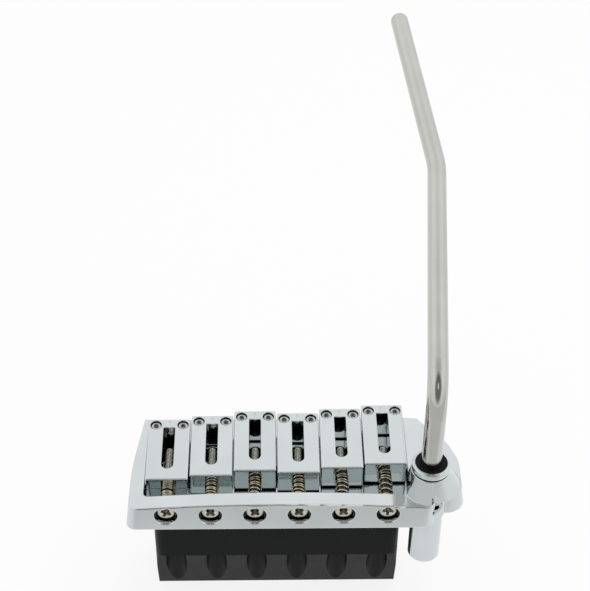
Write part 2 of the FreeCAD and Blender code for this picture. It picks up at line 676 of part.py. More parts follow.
def make_collar_nut():
    body = new_body("arm_collar_nut", "Sizes.barrel_x", BARREL_Y, "Sizes.boss_rise")
    profile = new_sketch(body, "collar_side", "XZ_Plane")
    on_neck = "Sizes.neck_dia / 2 + Sizes.ring_fit"
    on_flange = "Sizes.flange_dia / 2 + Sizes.ring_fit"
    polygon(profile, [
        (on_neck, "Sizes.collar_gap"),
        ("Sizes.collar_dia / 2", "Sizes.collar_gap"),
        ("Sizes.collar_dia / 2", "Sizes.collar_top"),
        (on_flange, "Sizes.collar_top"),
        (on_flange, "Sizes.neck_rise"),
        (on_neck, "Sizes.neck_rise"),
    ])
    revolve(body, profile, "V_Axis")
    rims = edges_where(body.Shape, lambda edge: is_round(edge, size("collar_dia")))
    dress(body, "Fillet", "collar_rims", rims, "Sizes.collar_round")


def make_bushing():
    body = new_body("arm_bushing", "Sizes.barrel_x", BARREL_Y)
    profile = new_sketch(body, "bushing_side", "XZ_Plane")
    bore = "Sizes.sleeve_bore / 2"
    foot = BARREL_FOOT + " + Sizes.sleeve_lift"
    polygon(profile, [
        (bore, foot),
        ("Sizes.sleeve_dia / 2", foot),
        ("Sizes.sleeve_dia / 2", NECK_TOP),
        ("Sizes.flange_dia / 2", NECK_TOP),
        ("Sizes.flange_dia / 2", NECK_TOP + " + Sizes.flange_thick"),
        (bore, NECK_TOP + " + Sizes.flange_thick"),
    ])
    revolve(body, profile, "V_Axis")


def make_tension_screw():
    body = new_body("arm_tension_screw", "Sizes.barrel_x", BARREL_Y, "Sizes.tension_rise")
    body.setExpression("Placement.Rotation.Yaw", "Sizes.tension_angle")
    inner = "-(Sizes.sleeve_dia / 2 + Sizes.ring_fit)"
    outer = inner + " - Sizes.tension_long"
    profile = new_sketch(body, "tension_side", "YZ_Plane")
    rectangle(profile, outer, inner, "0", "Sizes.tension_dia / 2")
    revolve(body, profile, "H_Axis")
    key = new_sketch(body, "tension_key", "XZ_Plane", "-(%s)" % outer)
    hexagon(key, "0", "0", "Sizes.tension_key")
    pocket(body, key, "Sizes.tension_deep")


def ring_height():
    return BARREL_FOOT + " + Sizes.arm_lift + Sizes.ring_rise"


def new_torus(name, wire):
    torus = doc.addObject("Part::Torus", name)
    torus.setExpression("Radius1", "Sizes.arm_dia / 2 - Sizes.ring_wire / 2")
    torus.setExpression("Radius2", wire)
    torus.setExpression("Placement.Base.x", "Sizes.barrel_x")
    torus.setExpression("Placement.Base.y", BARREL_Y)
    torus.setExpression("Placement.Base.z", ring_height())
    return torus


def make_retaining_ring():
    ring = new_torus("arm_retaining_ring", "Sizes.ring_wire / 2")
    ring.Label = "arm_retaining_ring"
    nodes.append(ring)
    doc.recompute()


# Arm: a rod with two bends, swept along its centre line.

def arc_towards(start, heading, turned, radius):
    # An arc from start that leaves along heading and ends along turned.
    angle = heading.getAngle(turned)
    inward = (turned - heading * heading.dot(turned)).normalize()
    centre = start + inward * radius
    middle = centre - inward * radius * math.cos(angle / 2) + heading * radius * math.sin(angle / 2)
    end = centre - inward * radius * math.cos(angle) + heading * radius * math.sin(angle)
    return Part.Arc(start, middle, end).toShape(), end


def arm_path():
    slope = math.radians(size("slope_angle"))
    yaw = math.radians(size("yaw_angle"))
    inner = yaw - math.radians(size("kink_angle"))
    up = Vector(0, 0, 1)
    level, rise = math.cos(slope), math.sin(slope)
    first = Vector(math.sin(yaw) * level, math.cos(yaw) * level, rise)
    second = Vector(math.sin(inner) * level, math.cos(inner) * level, rise)
    foot = Vector(size("barrel_x"), worth(BARREL_Y), worth(BARREL_FOOT) + size("arm_lift"))
    stem_top = Vector(foot.x, foot.y, size("arm_stem"))
    bend, bend_end = arc_towards(stem_top, up, first, size("arm_bend"))
    cut_back = size("kink_radius") * math.tan(first.getAngle(second) / 2)
    kink_start = bend_end + first * (size("arm_first") - cut_back)
    kink, kink_end = arc_towards(kink_start, first, second, size("kink_radius"))
    tip = kink_end + second * (size("arm_second") - cut_back)
    runs = [Part.makeLine(foot, stem_top), bend, Part.makeLine(bend_end, kink_start), kink]
    return Part.Wire(runs + [Part.makeLine(kink_end, tip)]), tip


def make_arm():
    path = doc.addObject("Part::Feature", "arm_path")
    path.Shape, tip = arm_path()
    section = doc.addObject("Part::Circle", "arm_section")
    section.setExpression("Radius", "Sizes.arm_dia / 2")
    section.setExpression("Placement.Base.x", "Sizes.barrel_x")
    section.setExpression("Placement.Base.y", BARREL_Y)
    section.setExpression("Placement.Base.z", BARREL_FOOT + " + Sizes.arm_lift")
    rod = doc.addObject("Part::Sweep", "arm_rod")
    rod.Sections = [section]
    rod.Spine = (path, [])
    rod.Solid = True
    groove = doc.addObject("Part::Cut", "arm_groove")
    groove.Base = rod
    groove.Tool = new_torus("groove_cutter", "Sizes.ring_wire / 2 + Sizes.ring_fit")
    doc.recompute()
    arm = doc.addObject("Part::Fillet", "tremolo_arm")
    arm.Base = groove
    rounds = []
    for number, edge in enumerate(groove.Shape.Edges, start=1):
        if not is_round(edge, size("arm_dia")):
            continue
        centre = edge.centerOfCurvatureAt(edge.FirstParameter)
        if (centre - tip).Length < 1e-3:
            rounds.append((number, size("tip_round"), size("tip_round")))
        elif abs(centre.z - worth(BARREL_FOOT) - size("arm_lift")) < 1e-3:
            rounds.append((number, size("foot_bevel"), size("foot_bevel")))
    arm.Edges = rounds
    arm.Label = "tremolo_arm"
    nodes.append(arm)
    doc.recompute()


# String sets: saddle, intonation screw and spring, height screws.

def make_saddle(index):
    body = new_body("saddle_%d" % (index + 1), string_x(index), saddle_y(index), "Sizes.screw_rise")
    foot = "(Sizes.saddle_clear - Sizes.screw_rise)"
    rear_top = foot + " + Sizes.saddle_high"
    front_top = rear_top + " + Sizes.saddle_long * tan(Sizes.saddle_angle)"
    side = new_sketch(body, "saddle_side", "YZ_Plane")
    polygon(side, [
        ("0", foot),
        ("Sizes.saddle_long", foot),
        ("Sizes.saddle_long", front_top),
        ("0", rear_top),
    ])
    pad(body, side, "Sizes.saddle_width", both_ways=True)
    dress(body, "Fillet", "saddle_edges", edges_where(body.Shape, lambda edge: True), "Sizes.saddle_round")

    half = "Sizes.saddle_slot / 2"
    slot_rear = "Sizes.slot_start + " + half
    slot_front = "Sizes.saddle_long - Sizes.slot_front"
    slot = new_sketch(body, "saddle_slot", "XY_Plane")
    rectangle(slot, "-" + half, half, slot_rear, slot_front)
    pocket(body, slot, "", through=True)
    slot_end = new_sketch(body, "slot_end", "XY_Plane")
    circle(slot_end, "0", slot_rear, "Sizes.saddle_slot")
    pocket(body, slot_end, "", through=True)
    grubs = new_sketch(body, "grub_bores", "XY_Plane")
    grub_y = "Sizes.saddle_long - Sizes.grub_front"
    for sign in ("", "-"):
        circle(grubs, sign + "Sizes.grub_span / 2", grub_y, "Sizes.grub_dia + 2 * Sizes.ring_fit")
    pocket(body, grubs, "", through=True)
    thread = new_sketch(body, "screw_bore", "XZ_Plane")
    circle(thread, "0", "0", "Sizes.screw_dia + 2 * Sizes.ring_fit")
    pocket(body, thread, slot_rear)
    notch = new_sketch(body, "string_notch", "XZ_Plane", "-(%s - %s)" % (slot_front, half))
    circle(notch, "0", front_top, "Sizes.string_notch")
    pocket(body, notch, "Sizes.saddle_long")


def make_intonation_screw(index):
    body = new_body("intonation_screw_%d" % (index + 1), string_x(index), SEAT_Y, "Sizes.screw_rise")
    face = "-(Sizes.head_gap + Sizes.head_thick)"
    shank = "Sizes.screw_dia / 2"
    bevel = "Sizes.shank_bevel"
    end = "Sizes.shank_long"
    profile = new_sketch(body, "screw_side", "YZ_Plane")
    polygon(profile, [
        (face, "0"),
        (face, "Sizes.head_dia / 2"),
        ("-Sizes.head_gap", "Sizes.head_dia / 2"),
        ("-Sizes.head_gap", shank),
        ("%s - %s" % (end, bevel), shank),
        (end, "%s - %s" % (shank, bevel)),
        (end, "0"),
    ])
    revolve(body, profile, "H_Axis")
    front = body.Placement.Base.y + worth(face)
    rim = edges_where(body.Shape, lambda edge: is_round(edge, size("head_dia"))
                      and abs(edge.CenterOfMass.y - front) < 1e-4)
    dress(body, "Fillet", "head_edge", rim, "Sizes.head_round")
    cross = new_sketch(body, "cross_recess", "XZ_Plane", "-" + face)
    far = "Sizes.cross_long / 2"
    near = "Sizes.cross_wide / 2"
    polygon(cross, [
        (far, near), (near, near), (near, far), ("-" + near, far), ("-" + near, near), ("-" + far, near),
        ("-" + far, "-" + near), ("-" + near, "-" + near), ("-" + near, "-" + far), (near, "-" + far),
        (near, "-" + near), (far, "-" + near),
    ])
    pocket(body, cross, "Sizes.cross_deep")


def make_height_screws(index):
    label = "height_screws_%d" % (index + 1)
    set_y = saddle_y(index) + " + Sizes.saddle_long - Sizes.grub_front"
    body = new_body(label, string_x(index), set_y, "Sizes.grub_clear")
    body.AllowCompound = True
    profile = new_sketch(body, "grub_side", "XZ_Plane", across="Sizes.grub_span / 2")
    radius = "Sizes.grub_dia / 2"
    tip = "Sizes.grub_tip / 2"
    bevel = "Sizes.grub_bevel"
    polygon(profile, [
        ("0", "0"),
        (tip, "0"),
        (radius, "%s - %s" % (radius, tip)),
        (radius, "Sizes.grub_long - " + bevel),
        (radius + " - " + bevel, "Sizes.grub_long"),
        ("0", "Sizes.grub_long"),
    ])
    screw = revolve(body, profile, "V_Axis")
    key = new_sketch(body, "grub_key", "XY_Plane", "Sizes.grub_long")
    hexagon(key, "Sizes.grub_span / 2", "0", "Sizes.grub_key")
    socket = pocket(body, key, "Sizes.key_deep")
    pair = body.newObject("PartDesign::Mirrored", "grub_pair")
    pair.Originals = [screw, socket]
    pair.MirrorPlane = ([item for item in body.Origin.OriginFeatures if item.Role == "YZ_Plane"][0], [""])
    body.Tip = pair
    doc.recompute()


def arc_from(start, heading, end):
    # The arc through start and end that leaves start along heading.
    chord = end - start
    along = Vector(chord).normalize()
    angle = heading.getAngle(along)
    rise = heading - along * heading.dot(along)
    middle = (start + end) * 0.5 + rise.normalize() * (chord.Length / 2 * math.tan(angle / 2))
    return Part.Arc(start, middle, end).toShape()


def biarc(start, heading, end, arrival):
    # Two arcs that meet smoothly between two points with given directions.
    gap = end - start
    both = heading + arrival
    spread = 2 * (1 - heading.dot(arrival))
    lean = gap.dot(both)
    reach = (math.sqrt(lean ** 2 + spread * gap.dot(gap)) - lean) / spread
    meet = (start + heading * reach + end - arrival * reach) * 0.5
    back = arc_from(end, arrival * -1, meet)
    return [arc_from(start, heading, meet), back.reversed()]


def make_spring(index):
    radius = (size("spring_dia") - size("spring_wire")) / 2
    start = size("seat_wall") + size("spring_clear") + size("spring_wire") / 2
    saddle_face = worth(saddle_y(index)) - worth(SEAT_Y)
    length = saddle_face - size("spring_clear") - size("spring_wire") / 2 - start
    turns = size("spring_turns")
    rise = length / (2 * math.pi * turns)

    def point(angle):
        return Vector(radius * math.cos(angle), start + rise * angle, radius * math.sin(angle))

    def heading(angle):
        return Vector(-radius * math.sin(angle), rise, radius * math.cos(angle)).normalize()

    quarters = int(round(turns * 4))
    angles = [2 * math.pi * turns * step / quarters for step in range(quarters + 1)]
    arcs = []
    for first, last in zip(angles, angles[1:]):
        arcs += biarc(point(first), heading(first), point(last), heading(last))
    sweep = Part.BRepOffsetAPI.MakePipeShell(Part.Wire(arcs))
    sweep.add(Part.Wire([Part.makeCircle(size("spring_wire") / 2, point(0), heading(0))]))
    sweep.build()
    sweep.makeSolid()
    spring = doc.addObject("Part::Feature", "intonation_spring_%d" % (index + 1))
    spring.Label = "intonation_spring_%d" % (index + 1)
    spring.Shape = sweep.shape()
    seat = Vector(worth(string_x(index)), worth(SEAT_Y), size("screw_rise"))
    spring.Placement = Placement(seat, Rotation())
    nodes.append(spring)

    samples = 40
    line = [point(2 * math.pi * step / samples) for step in range(int(turns * samples) + 1)]
    least = min(
        (near - far).Length
        for place, near in enumerate(line)
        for far in line[place + samples // 2:]
    )
    print(spring.Label, "least gap to itself %.3f mm" % (least - size("spring_wire")))


make_base_plate()
make_tremolo_block()
make_block_screws()
make_collar_nut()
make_bushing()
make_tension_screw()
make_retaining_ring()
make_arm()
for string in range(STRINGS):
    make_saddle(string)
    make_intonation_screw(string)
    make_spring(string)
    make_height_screws(string)

doc.recompute()
for item in doc.Objects:
    if "Invalid" in item.State or "Error" in item.State:
        raise ValueError("%s failed: %s" % (item.Label, item.State))
for node in nodes:
    if node.Shape.isNull() or not node.Shape.isValid():
        raise ValueError(node.Label + " has no valid shape")

os.makedirs("parts", exist_ok=True)
for node in nodes:
    node.Shape.exportStep("parts/%s.step" % node.Label)
    print("%-22s solids %d  volume %9.2f" % (node.Label, len(node.Shape.Solids), node.Shape.Volume))
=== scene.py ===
import bmesh
import bpy
import json
import math
from mathutils import Matrix, Vector
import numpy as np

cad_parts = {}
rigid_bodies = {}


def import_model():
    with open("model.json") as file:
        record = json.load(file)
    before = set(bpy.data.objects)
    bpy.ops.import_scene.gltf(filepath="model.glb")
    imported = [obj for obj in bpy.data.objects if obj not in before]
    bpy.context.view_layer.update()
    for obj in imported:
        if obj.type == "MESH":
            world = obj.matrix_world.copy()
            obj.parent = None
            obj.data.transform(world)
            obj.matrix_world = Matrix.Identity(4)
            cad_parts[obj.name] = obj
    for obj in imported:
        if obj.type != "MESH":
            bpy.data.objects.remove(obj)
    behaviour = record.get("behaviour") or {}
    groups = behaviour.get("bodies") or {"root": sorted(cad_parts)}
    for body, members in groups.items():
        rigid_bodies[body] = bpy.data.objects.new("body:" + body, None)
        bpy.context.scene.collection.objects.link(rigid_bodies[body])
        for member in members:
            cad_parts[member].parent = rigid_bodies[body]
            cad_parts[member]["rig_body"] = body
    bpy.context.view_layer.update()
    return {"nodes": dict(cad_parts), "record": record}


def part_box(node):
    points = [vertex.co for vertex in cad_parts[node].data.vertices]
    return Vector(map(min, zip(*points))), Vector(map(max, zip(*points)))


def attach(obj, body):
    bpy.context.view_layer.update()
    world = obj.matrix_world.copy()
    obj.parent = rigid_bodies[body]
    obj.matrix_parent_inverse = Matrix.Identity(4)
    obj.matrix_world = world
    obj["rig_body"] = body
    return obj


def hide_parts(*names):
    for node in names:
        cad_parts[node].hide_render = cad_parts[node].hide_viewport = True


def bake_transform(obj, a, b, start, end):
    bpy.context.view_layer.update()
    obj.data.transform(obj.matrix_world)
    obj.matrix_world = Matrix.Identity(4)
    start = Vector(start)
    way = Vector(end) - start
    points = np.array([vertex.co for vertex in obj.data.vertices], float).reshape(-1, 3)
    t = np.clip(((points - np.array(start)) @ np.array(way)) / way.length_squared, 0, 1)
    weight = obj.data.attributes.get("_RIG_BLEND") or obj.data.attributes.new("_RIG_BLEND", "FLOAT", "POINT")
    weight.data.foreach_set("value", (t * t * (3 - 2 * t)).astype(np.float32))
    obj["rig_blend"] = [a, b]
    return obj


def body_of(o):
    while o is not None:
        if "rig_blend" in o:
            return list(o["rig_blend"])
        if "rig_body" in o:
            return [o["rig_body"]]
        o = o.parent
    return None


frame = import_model()
nodes = frame["nodes"]
stringCount = 6
yAxis, zAxis = 1, 2
print("frame loaded:", len(nodes), "nodes")


# node helpers

noiseLook = {
    "low": 0.3,           # most of the noise lies between these
    "high": 0.7,
    "detail": 4.0,        # of the mottling that all finishes share
    "shadeSamples": 16,
}


def addNode(tree, kind, inputs=None, **settings):
    made = tree.nodes.new("ShaderNode" + kind)
    for key, value in settings.items():
        setattr(made, key, value)
    for key, value in (inputs or {}).items():
        if isinstance(value, bpy.types.NodeSocket):
            tree.links.new(value, made.inputs[key])
        else:
            made.inputs[key].default_value = value
    return made


def mathNode(tree, operation, first, second):
    return addNode(tree, "Math", {0: first, 1: second}, operation=operation).outputs[0]


def within(tree, value, low, high):
    above = mathNode(tree, "GREATER_THAN", value, low)
    return mathNode(tree, "MULTIPLY", above, mathNode(tree, "LESS_THAN", value, high))


def mixColour(tree, share, first, second):
    parts = {"Factor": share, "A": first, "B": second}
    return addNode(tree, "Mix", parts, data_type="RGBA").outputs["Result"]


def startFinish(name, metallic=0.0):
    material = bpy.data.materials.new(name)
    material.use_nodes = True
    tree = material.node_tree
    shader = tree.nodes["Principled BSDF"]
    shader.inputs["Metallic"].default_value = metallic
    place = addNode(tree, "TexCoord").outputs["Object"]  # in metres
    return material, tree, shader, place


def endFinish(tree, shader, colour, rough, normal):
    tree.links.new(colour, shader.inputs["Base Color"])
    tree.links.new(rough, shader.inputs["Roughness"])
    tree.links.new(normal, shader.inputs["Normal"])


def noiseNode(tree, place, scale, detail=noiseLook["detail"], stretch=None):
    if stretch:
        place = addNode(tree, "Mapping", {"Vector": place, "Scale": stretch}).outputs[0]
    return addNode(tree, "TexNoise", {"Vector": place, "Scale": scale, "Detail": detail}).outputs["Fac"]


def between(tree, value, low, high):
    return addNode(tree, "MapRange", {
        "Value": value, "From Min": noiseLook["low"], "From Max": noiseLook["high"],
        "To Min": low, "To Max": high}).outputs["Result"]


def colourBetween(tree, value, dark, light):
    ramp = addNode(tree, "ValToRGB", {"Fac": value})
    first, last = ramp.color_ramp.elements
    first.position, first.color = noiseLook["low"], (*dark, 1)
    last.position, last.color = noiseLook["high"], (*light, 1)
    return ramp.outputs["Color"]


def bumpNode(tree, height, distance, strength, under=None):
    inputs = {"Height": height, "Distance": distance, "Strength": strength}
    if under is not None:
        inputs["Normal"] = under
    return addNode(tree, "Bump", inputs).outputs["Normal"]


def mottle(tree, place, look):
    patch = noiseNode(tree, place, look["patch"])
    colour = colourBetween(tree, patch, look["dark"], look["light"])
    rough = between(tree, patch, *look["rough"])
    return colour, rough, bumpNode(tree, patch, look["patchDepth"], look["patchStrength"])


# painted shade: the colour is mixed towards a dark tone where ambient occlusion finds the sky closed off, in gaps,
# bores and recesses
def withPaintedShade(tree, colour, look):
    openShare = addNode(tree, "AmbientOcclusion", {"Distance": look["shadeReach"]}, samples=noiseLook["shadeSamples"])
    share = addNode(tree, "MapRange", {
        "Value": openShare.outputs["AO"], "From Min": look["shadeTo"], "From Max": look["shadeFrom"]})
    return mixColour(tree, share.outputs["Result"], (*look["shadeColour"], 1), colour)


# polished chrome: plate, collar and saddles

chromeLook = {
    "dark": (0.575, 0.615, 0.62),
    "light": (0.62, 0.66, 0.665),
    "cloud": 90.0,        # faint clouds in the plating, per metre
    "rough": (0.04, 0.08),
    "haze": 540.0,
    "hazeDetail": 5.0,
    "peel": 420.0,        # ripple left by the polishing wheel
    "peelDetail": 1.0,
    "peelDepth": 0.000004,
    "peelStrength": 0.5,
    "edge": 0.00035,      # edges softened by the buffing
    "edgeSamples": 8,
    "shadeColour": (0.012, 0.014, 0.015),   # painted shade in narrow gaps and bores
    "shadeReach": 0.0022,
    "shadeFrom": 0.36,    # open share of the sky where it starts
    "shadeTo": 0.05,      # and where it covers all
}


def makeChrome():
    look = chromeLook
    material, tree, shader, place = startFinish("polishedChrome", 1.0)
    cloud = noiseNode(tree, place, look["cloud"])
    # plating darkened with painted shade in its gaps and bores
    plating = withPaintedShade(tree, colourBetween(tree, cloud, look["dark"], look["light"]), look)
    haze = between(tree, noiseNode(tree, place, look["haze"], look["hazeDetail"]), *look["rough"])
    peel = noiseNode(tree, place, look["peel"], look["peelDetail"])
    buffed = addNode(tree, "Bevel", {"Radius": look["edge"]}, samples=look["edgeSamples"]).outputs["Normal"]
    rippled = bumpNode(tree, peel, look["peelDepth"], look["peelStrength"], buffed)
    endFinish(tree, shader, plating, haze, rippled)
    return material


# satin black paint of the block

blockLook = {
    "dark": (0.0050, 0.0060, 0.0063),
    "light": (0.0085, 0.0098, 0.0100),
    "sheenFaceDark": (0.0165, 0.0168, 0.0158),   # painted reflection: the fluted rear face lighter than the band
    "sheenFaceLight": (0.0205, 0.0208, 0.0196),
    "stepZ": -0.0223,
    "facing": -0.4,       # the fluted face looks to the rear
    "patch": 160.0,
    "gloss": 0.09,
    "rough": (0.34, 0.46),
    "grain": 2600.0,
    "grainDetail": 2.0,
    "grainDepth": 0.00003,
    "grainStrength": 0.4,
}


def makeBlockPaint():
    look = blockLook
    material, tree, shader, place = startFinish("satinBlackPaint")
    shader.inputs["Specular IOR Level"].default_value = look["gloss"]
    patch = noiseNode(tree, place, look["patch"])
    grain = noiseNode(tree, place, look["grain"], look["grainDetail"])
    band = colourBetween(tree, patch, look["dark"], look["light"])
    # painted reflection: lighter colour on the lower rear face
    face = colourBetween(tree, patch, look["sheenFaceDark"], look["sheenFaceLight"])
    up = addNode(tree, "SeparateXYZ", {0: place}).outputs["Z"]
    way = addNode(tree, "SeparateXYZ", {0: addNode(tree, "TexCoord").outputs["Normal"]}).outputs["Y"]
    fluted = mathNode(tree, "LESS_THAN", up, look["stepZ"])
    fluted = mathNode(tree, "MULTIPLY", fluted, mathNode(tree, "LESS_THAN", way, look["facing"]))
    grained = bumpNode(tree, grain, look["grainDepth"], look["grainStrength"])
    endFinish(tree, shader, mixColour(tree, fluted, band, face), between(tree, patch, *look["rough"]), grained)
    return material


# satin nickel of the arm, drawn along its length

armLook = {
    "dark": (0.505, 0.505, 0.475),
    "light": (0.545, 0.545, 0.515),
    "patch": 120.0,
    "rough": (0.07, 0.11),
    "streak": 900.0,
    "streakDetail": 3.0,
    "streakStretch": (1.0, 0.05, 0.05),
    "streakDepth": 0.0000015,
    "streakStrength": 0.5,
}


def makeArmNickel():
    look = armLook
    material, tree, shader, place = startFinish("satinNickel", 1.0)
    drawn = noiseNode(tree, place, look["streak"], look["streakDetail"], look["streakStretch"])
    patch = noiseNode(tree, place, look["patch"])
    nickel = colourBetween(tree, patch, look["dark"], look["light"])
    streaked = bumpNode(tree, drawn, look["streakDepth"], look["streakStrength"])
    endFinish(tree, shader, nickel, between(tree, drawn, *look["rough"]), streaked)
    return material


# black bushing

bushingLook = {
    "dark": (0.0030, 0.0033, 0.0033),
    "light": (0.0060, 0.0065, 0.0065),
    "patch": 700.0,
    "patchDepth": 0.00002,
    "patchStrength": 0.3,
    "rough": (0.42, 0.55),
    "gloss": 0.10,
}


def makeBushingPlastic():
    look = bushingLook
    material, tree, shader, place = startFinish("bushingPlastic")
    shader.inputs["Specular IOR Level"].default_value = look["gloss"]
    endFinish(tree, shader, *mottle(tree, place, look))
    return material


# warm nickel of the intonation screws

screwLook = {
    "dark": (0.60, 0.565, 0.485),
    "light": (0.73, 0.70, 0.615),
    "patch": 900.0,
    "patchDepth": 0.00001,
    "patchStrength": 0.3,
    "rough": (0.12, 0.22),
    "shankShade": (0.10, 0.095, 0.085),    # painted shade on the shank under its spring
    "shankFromY": -0.0326,
    "shankShadeToY": -0.0226,
    "crossShade": (0.21, 0.18, 0.122),   # painted shade, dark brown, down in the cross
    "crossFromY": -0.03424,
    "crossReach": 0.00150,
    "axisX": -0.027,      # axis of the first screw
    "axisZ": 0.00215,
    "pitch": 0.0108,
    "shadeColour": (0.022, 0.019, 0.013),   # painted shade in the cross and the thread
    "shadeReach": 0.0007,
    "shadeFrom": 0.80,
    "shadeTo": 0.45,
}


def makeScrewNickel():
    look = screwLook
    material, tree, shader, place = startFinish("screwNickel", 1.0)
    coat, rough, mottled = mottle(tree, place, look)
    spot = addNode(tree, "SeparateXYZ", {0: place}).outputs
    half = look["pitch"] / 2
    aside = mathNode(tree, "SUBTRACT", spot["X"], look["axisX"] - half)
    aside = mathNode(tree, "SUBTRACT", mathNode(tree, "FLOORED_MODULO", aside, look["pitch"]), half)
    above = mathNode(tree, "SUBTRACT", spot["Z"], look["axisZ"])
    flat = addNode(tree, "CombineXYZ", {"X": aside, "Y": above}).outputs[0]
    reach = addNode(tree, "VectorMath", {0: flat}, operation="LENGTH").outputs["Value"]
    inCross = mathNode(tree, "MULTIPLY", mathNode(tree, "LESS_THAN", reach, look["crossReach"]),
                       within(tree, spot["Y"], look["crossFromY"], look["shankFromY"]))
    onShank = within(tree, spot["Y"], look["shankFromY"], look["shankShadeToY"])
    # the cross recess painted dark brown: painted shade
    coat = mixColour(tree, inCross, coat, (*look["crossShade"], 1))
    # the shank under the spring painted dark: painted shade
    coat = mixColour(tree, onShank, coat, (*look["shankShade"], 1))
    # painted shade in the cross and the thread, from ambient occlusion
    endFinish(tree, shader, withPaintedShade(tree, coat, look), rough, mottled)
    return material


# plain steel of the small set screws

steelLook = {
    "dark": (0.42, 0.43, 0.43),
    "light": (0.55, 0.56, 0.56),
    "patch": 1100.0,
    "patchDepth": 0.00001,
    "patchStrength": 0.3,
    "rough": (0.14, 0.26),
    "shadeColour": (0.006, 0.006, 0.006),   # painted shade in the hexagon and the thread
    "shadeReach": 0.0010,
    "shadeFrom": 0.85,
    "shadeTo": 0.60,
}


def makeScrewSteel():
    look = steelLook
    material, tree, shader, place = startFinish("setScrewSteel", 1.0)
    bare, rough, mottled = mottle(tree, place, look)
    # painted shade in the hexagon and the thread, from ambient occlusion
    endFinish(tree, shader, withPaintedShade(tree, bare, look), rough, mottled)
    return material


# drawn spring wire with a warm tint

wireLook = {
    "dark": (0.58, 0.52, 0.37),
    "light": (0.74, 0.67, 0.51),
    "patch": 1500.0,
    "patchDepth": 0.00001,
    "patchStrength": 0.4,
    "rough": (0.16, 0.28),
}


def makeSpringWire():
    look = wireLook
    material, tree, shader, place = startFinish("springWire", 1.0)
    endFinish(tree, shader, *mottle(tree, place, look))
    return material


finishes = {
    "chrome": makeChrome(),
    "block_black": makeBlockPaint(),
    "bushing_black": makeBushingPlastic(),
    "arm_nickel": makeArmNickel(),
    "screw_nickel": makeScrewNickel(),
    "screw_steel": makeScrewSteel(),
    "spring_wire": makeSpringWire(),
}
for subpart in frame["record"]["subparts"]:
    cad = nodes[subpart["node"]]
    cad.data.materials.clear()
    cad.data.materials.append(finishes[subpart["material_slot"]])
print("finishes on the nodes:", len(finishes))


# threads cut into the straight runs of the screws

threadForm = {
    "shankRadius": 0.0012,
    "shankLead": 0.00045,
    "shankDepth": 0.00020,
    "grubRadius": 0.0014,
    "grubLead": 0.0005,
    "grubDepth": 0.00022,
    "rowsPerTurn": 8,
    "runOut": 0.0005,     # where the thread fades at both ends
    "crease": 35.0,
    "setTurns": (28.0, 46.0, 40.0, 50.0, 43.0, 3.0),    # degrees that the crosses are turned, as set
    "weld": 0.0000001,
    "slack": 0.000005,    # how far a corner of the run may lie off its radius
    "lean": 0.01,         # and how far a face of it may lean
    "seam": 0.01,         # radians, so that no column lies on the jump from a full turn to zero
}


def boxOf(node):
    return [Vector(corner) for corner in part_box(node)]


def cutThread(form, along, centre, radius, lead, depth):
    across = [axis for axis in range(3) if axis != along]
    hand = 1 if along == yAxis else -1    # right-handed either way
    seam = threadForm["seam"]

    def turnOf(vert):
        flat = [vert.co[axis] - centre[axis] for axis in across]
        return (math.atan2(flat[1], flat[0]) + seam) % (2 * math.pi)

    def onRun(vert):
        off = math.hypot(*(vert.co[axis] - centre[axis] for axis in across))
        return abs(off - radius) < threadForm["slack"]

    side = [face for face in form.faces
            if abs(face.normal[along]) < threadForm["lean"] and all(onRun(vert) for vert in face.verts)]
    rim = {vert for face in side for vert in face.verts}
    middle = sum(vert.co[along] for vert in rim) / len(rim)
    first = sorted((vert for vert in rim if vert.co[along] < middle), key=turnOf)
    last = sorted((vert for vert in rim if vert.co[along] > middle), key=turnOf)
    turns = [turnOf(vert) for vert in first]
    bmesh.ops.delete(form, geom=side, context="FACES")
    start, end = first[0].co[along], last[0].co[along]
    count = int((end - start) / lead * threadForm["rowsPerTurn"])
    rows = [first]
    for step in range(1, count):
        place = start + (end - start) * step / count
        fade = min(1.0, min(place - start, end - place) / threadForm["runOut"])
        row = []
        for turn in turns:
            phase = (place / lead + hand * turn / (2 * math.pi)) % 1.0
            reach = radius - depth * fade * abs(2 * phase - 1)
            spot = Vector(centre)
            spot[along] = place
            spot[across[0]] += reach * math.cos(turn - seam)
            spot[across[1]] += reach * math.sin(turn - seam)
            row.append(form.verts.new(spot))
        rows.append(row)
    rows.append(last)
    for lower, upper in zip(rows, rows[1:]):
        for column in range(len(turns)):
            following = (column + 1) % len(turns)
            form.faces.new((lower[column], lower[following], upper[following], upper[column]))


def threadedScrew(name, node, along, centres, radius, lead, depth, slotName, setTurn=0.0):
    form = bmesh.new()
    form.from_mesh(nodes[node].data)
    bmesh.ops.remove_doubles(form, verts=form.verts, dist=threadForm["weld"])
    if setTurn:
        turned = Matrix.Rotation(math.radians(setTurn), 3, "Y")
        bmesh.ops.rotate(form, verts=form.verts, cent=centres[0], matrix=turned)
    for centre in centres:
        cutThread(form, along, centre, radius, lead, depth)
    bmesh.ops.recalc_face_normals(form, faces=form.faces)
    mesh = bpy.data.meshes.new(name)
    form.to_mesh(mesh)
    form.free()
    for polygon in mesh.polygons:
        polygon.use_smooth = True
    mesh.set_sharp_from_angle(angle=math.radians(threadForm["crease"]))
    mesh.materials.append(finishes[slotName])
    screw = bpy.data.objects.new(name, mesh)
    bpy.context.scene.collection.objects.link(screw)
    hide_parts(node)
    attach(screw, body_of(nodes[node])[0])


